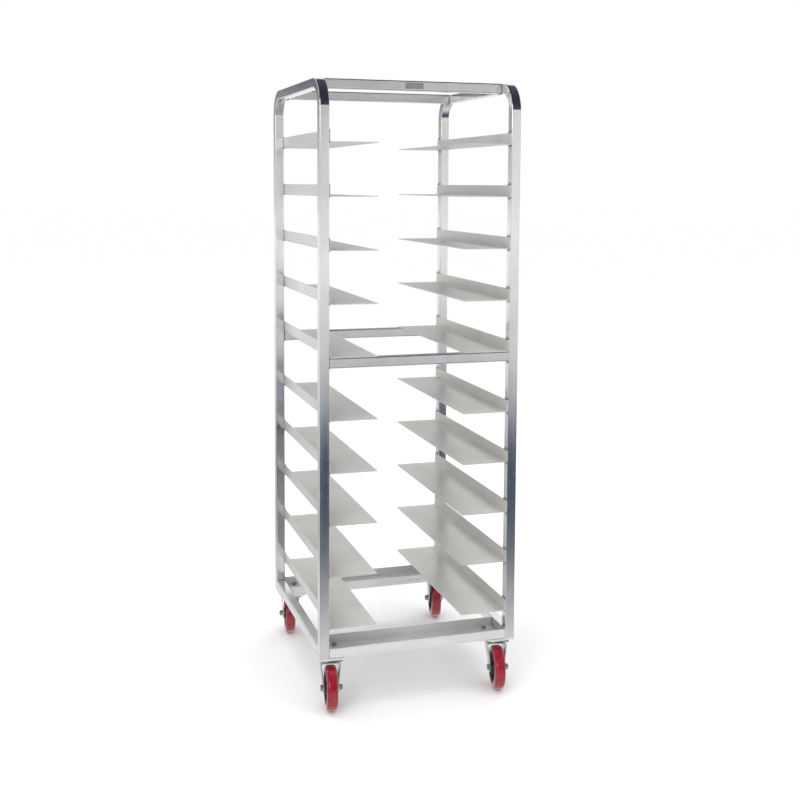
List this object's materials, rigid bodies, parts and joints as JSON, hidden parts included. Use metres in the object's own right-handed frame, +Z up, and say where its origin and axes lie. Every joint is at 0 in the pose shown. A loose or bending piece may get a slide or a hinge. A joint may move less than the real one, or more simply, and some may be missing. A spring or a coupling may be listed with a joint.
{
  "type": "sheet pan rack",
  "caption": "Tall open aluminium rack with square tube side frames, pairs of wide angle ledges for trays, a channel base and swivel casters with red wheels.",
  "frame": {"origin": "on the floor, under the middle of the rack", "axes": "+Z up, +Y from the loading side to the back, +X to the right of someone who faces the loading side"},
  "size_m": [0.596, 0.7452, 1.799],
  "materials": {
    "tube_aluminium": "bright mill-finished tube",
    "ledge_aluminium": "satin sheet",
    "base_aluminium": "satin, mill-finished",
    "plate_aluminium": "brushed, blank",
    "fork_zinc": "bright zinc plating",
    "fastener_zinc": "zinc plated",
    "ball_steel": "polished hardened steel",
    "core_plastic": "moulded, nearly black",
    "tread_red": "glossy cast polyurethane, deep red"
  },
  "bodies": {
    "frame": {"left_side_frame": "tube_aluminium", "right_side_frame": "tube_aluminium", "top_front_bar": "tube_aluminium", "top_rear_bar": "tube_aluminium", "middle_front_bar": "tube_aluminium", "middle_rear_bar": "tube_aluminium", "left_base_rail": "tube_aluminium", "right_base_rail": "tube_aluminium", "front_base_channel": "base_aluminium", "rear_base_channel": "base_aluminium", "ledge_left_01": "ledge_aluminium", "ledge_left_02": "ledge_aluminium", "ledge_left_03": "ledge_aluminium", "ledge_left_04": "ledge_aluminium", "ledge_left_05": "ledge_aluminium", "ledge_left_06": "ledge_aluminium", "ledge_left_07": "ledge_aluminium", "ledge_left_08": "ledge_aluminium", "ledge_left_09": "ledge_aluminium", "ledge_left_10": "ledge_aluminium", "ledge_right_01": "ledge_aluminium", "ledge_right_02": "ledge_aluminium", "ledge_right_03": "ledge_aluminium", "ledge_right_04": "ledge_aluminium", "ledge_right_05": "ledge_aluminium", "ledge_right_06": "ledge_aluminium", "ledge_right_07": "ledge_aluminium", "ledge_right_08": "ledge_aluminium", "ledge_right_09": "ledge_aluminium", "ledge_right_10": "ledge_aluminium", "maker_plate": "plate_aluminium", "caster_pads": "base_aluminium", "caster_bolts": "fastener_zinc", "caster_nuts": "fastener_zinc", "swivel_kingpins": "fastener_zinc", "swivel_balls": "ball_steel", "mount_plate_front_left": "fork_zinc", "mount_plate_front_right": "fork_zinc", "mount_plate_rear_left": "fork_zinc", "mount_plate_rear_right": "fork_zinc"},
    "swivel_front_left": {"fork_front_left": "fork_zinc", "axle_bolt_front_left": "fastener_zinc", "axle_bush_front_left": "fastener_zinc"},
    "swivel_front_right": {"fork_front_right": "fork_zinc", "axle_bolt_front_right": "fastener_zinc", "axle_bush_front_right": "fastener_zinc"},
    "swivel_rear_left": {"fork_rear_left": "fork_zinc", "axle_bolt_rear_left": "fastener_zinc", "axle_bush_rear_left": "fastener_zinc"},
    "swivel_rear_right": {"fork_rear_right": "fork_zinc", "axle_bolt_rear_right": "fastener_zinc", "axle_bush_rear_right": "fastener_zinc"},
    "wheel_front_left": {"wheel_core_front_left": "core_plastic", "wheel_tread_front_left": "tread_red"},
    "wheel_front_right": {"wheel_core_front_right": "core_plastic", "wheel_tread_front_right": "tread_red"},
    "wheel_rear_left": {"wheel_core_rear_left": "core_plastic", "wheel_tread_rear_left": "tread_red"},
    "wheel_rear_right": {"wheel_core_rear_right": "core_plastic", "wheel_tread_rear_right": "tread_red"}
  },
  "joints": [
    {"name": "swivel_front_left", "type": "hinge", "parent": "frame", "child": "swivel_front_left", "pos_m": [-0.257, -0.274, 0.1373], "axis": [0, 0, 1], "continuous": true},
    {"name": "swivel_front_right", "type": "hinge", "parent": "frame", "child": "swivel_front_right", "pos_m": [0.257, -0.274, 0.1373], "axis": [0, 0, 1], "continuous": true},
    {"name": "swivel_rear_left", "type": "hinge", "parent": "frame", "child": "swivel_rear_left", "pos_m": [-0.257, 0.274, 0.1373], "axis": [0, 0, 1], "continuous": true},
    {"name": "swivel_rear_right", "type": "hinge", "parent": "frame", "child": "swivel_rear_right", "pos_m": [0.257, 0.274, 0.1373], "axis": [0, 0, 1], "continuous": true},
    {"name": "wheel_front_left", "type": "hinge", "parent": "swivel_front_left", "child": "wheel_front_left", "pos_m": [-0.26187, -0.30866, 0.0635], "axis": [0.9903, -0.1392, 0], "continuous": true},
    {"name": "wheel_front_right", "type": "hinge", "parent": "swivel_front_right", "child": "wheel_front_right", "pos_m": [0.25032, -0.30836, 0.0635], "axis": [0.9816, -0.1908, 0], "continuous": true},
    {"name": "wheel_rear_left", "type": "hinge", "parent": "swivel_rear_left", "child": "wheel_rear_left", "pos_m": [-0.25213, 0.30866, 0.0635], "axis": [-0.9903, 0.1392, 0], "continuous": true},
    {"name": "wheel_rear_right", "type": "hinge", "parent": "swivel_rear_right", "child": "wheel_rear_right", "pos_m": [0.26368, 0.30836, 0.0635], "axis": [-0.9816, 0.1908, 0], "continuous": true}
  ]
}
